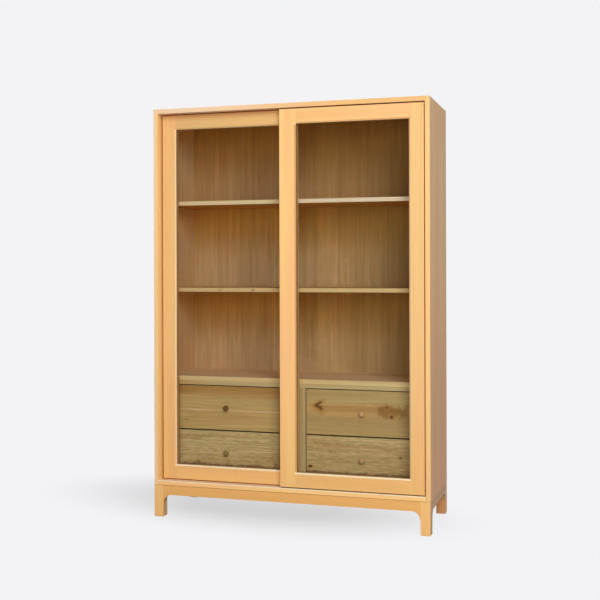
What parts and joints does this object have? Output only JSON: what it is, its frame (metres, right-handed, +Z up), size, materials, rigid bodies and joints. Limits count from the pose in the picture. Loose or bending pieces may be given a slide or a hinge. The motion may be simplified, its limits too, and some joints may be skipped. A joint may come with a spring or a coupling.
{
  "type": "kitchen cabinet",
  "caption": "Tall kitchen cabinet with glazed sliding doors over shelves and a drawer unit, on a low leg frame with bracketed aprons.",
  "frame": {"origin": "on the floor, under the middle of the cabinet", "axes": "+X to the right as seen from the front, +Y from the front to the back, +Z up"},
  "size_m": [1.23, 0.435, 1.8],
  "materials": {
    "frame_wood": "satin oiled pale softwood",
    "door_wood": "satin oiled pale softwood",
    "side_wood": "matt oiled softwood board",
    "inner_wood": "matt softwood",
    "back_wood": "matt upright-grain softwood",
    "drawer_wood": "matt softwood, level grain with knots",
    "knob_wood": "satin turned wood",
    "glass": "clear flat pane"
  },
  "bodies": {
    "carcass": {"leg_front_left": "frame_wood", "leg_front_right": "frame_wood", "leg_rear_left": "frame_wood", "leg_rear_right": "frame_wood", "apron_front": "frame_wood", "apron_rear": "frame_wood", "apron_left": "frame_wood", "apron_right": "frame_wood", "side_left": "side_wood", "side_right": "side_wood", "top_board": "frame_wood", "bottom_board": "frame_wood", "back_boards": "back_wood", "shelf_lower": "inner_wood", "shelf_upper": "inner_wood", "unit_top": "inner_wood", "unit_rails": "inner_wood", "post_centre": "inner_wood", "posts_outer": "inner_wood", "divider_left": "inner_wood", "divider_right": "inner_wood", "unit_side_left": "inner_wood", "unit_side_right": "inner_wood", "drawer_runners": "inner_wood"},
    "door_left": {"door_left_stile_outer": "door_wood", "door_left_stile_meeting": "door_wood", "door_left_rail_bottom": "door_wood", "door_left_rail_top": "door_wood", "door_left_glass": "glass", "door_left_beads": "door_wood"},
    "door_right": {"door_right_stile_outer": "door_wood", "door_right_stile_meeting": "door_wood", "door_right_rail_bottom": "door_wood", "door_right_rail_top": "door_wood", "door_right_glass": "glass", "door_right_beads": "door_wood"},
    "drawer_lower_left": {"drawer_lower_left_front": "drawer_wood", "drawer_lower_left_side_left": "inner_wood", "drawer_lower_left_side_right": "inner_wood", "drawer_lower_left_back": "inner_wood", "drawer_lower_left_bottom": "inner_wood", "drawer_lower_left_knob": "knob_wood"},
    "drawer_lower_right": {"drawer_lower_right_front": "drawer_wood", "drawer_lower_right_side_left": "inner_wood", "drawer_lower_right_side_right": "inner_wood", "drawer_lower_right_back": "inner_wood", "drawer_lower_right_bottom": "inner_wood", "drawer_lower_right_knob": "knob_wood"},
    "drawer_upper_left": {"drawer_upper_left_front": "drawer_wood", "drawer_upper_left_side_left": "inner_wood", "drawer_upper_left_side_right": "inner_wood", "drawer_upper_left_back": "inner_wood", "drawer_upper_left_bottom": "inner_wood", "drawer_upper_left_knob": "knob_wood"},
    "drawer_upper_right": {"drawer_upper_right_front": "drawer_wood", "drawer_upper_right_side_left": "inner_wood", "drawer_upper_right_side_right": "inner_wood", "drawer_upper_right_back": "inner_wood", "drawer_upper_right_bottom": "inner_wood", "drawer_upper_right_knob": "knob_wood"}
  },
  "joints": [
    {"name": "door_left_slide", "type": "slide", "parent": "carcass", "child": "door_left", "axis": [1, 0, 0], "range_m": [-0.008, 0.559]},
    {"name": "door_right_slide", "type": "slide", "parent": "carcass", "child": "door_right", "axis": [1, 0, 0], "range_m": [-0.563, 0.004]},
    {"name": "drawer_lower_left_slide", "type": "slide", "parent": "carcass", "child": "drawer_lower_left", "axis": [0, -1, 0], "range_m": [0, 0.011]},
    {"name": "drawer_lower_right_slide", "type": "slide", "parent": "carcass", "child": "drawer_lower_right", "axis": [0, -1, 0], "range_m": [0, 0.011]},
    {"name": "drawer_upper_left_slide", "type": "slide", "parent": "carcass", "child": "drawer_upper_left", "axis": [0, -1, 0], "range_m": [0, 0.011]},
    {"name": "drawer_upper_right_slide", "type": "slide", "parent": "carcass", "child": "drawer_upper_right", "axis": [0, -1, 0], "range_m": [0, 0.011]}
  ]
}
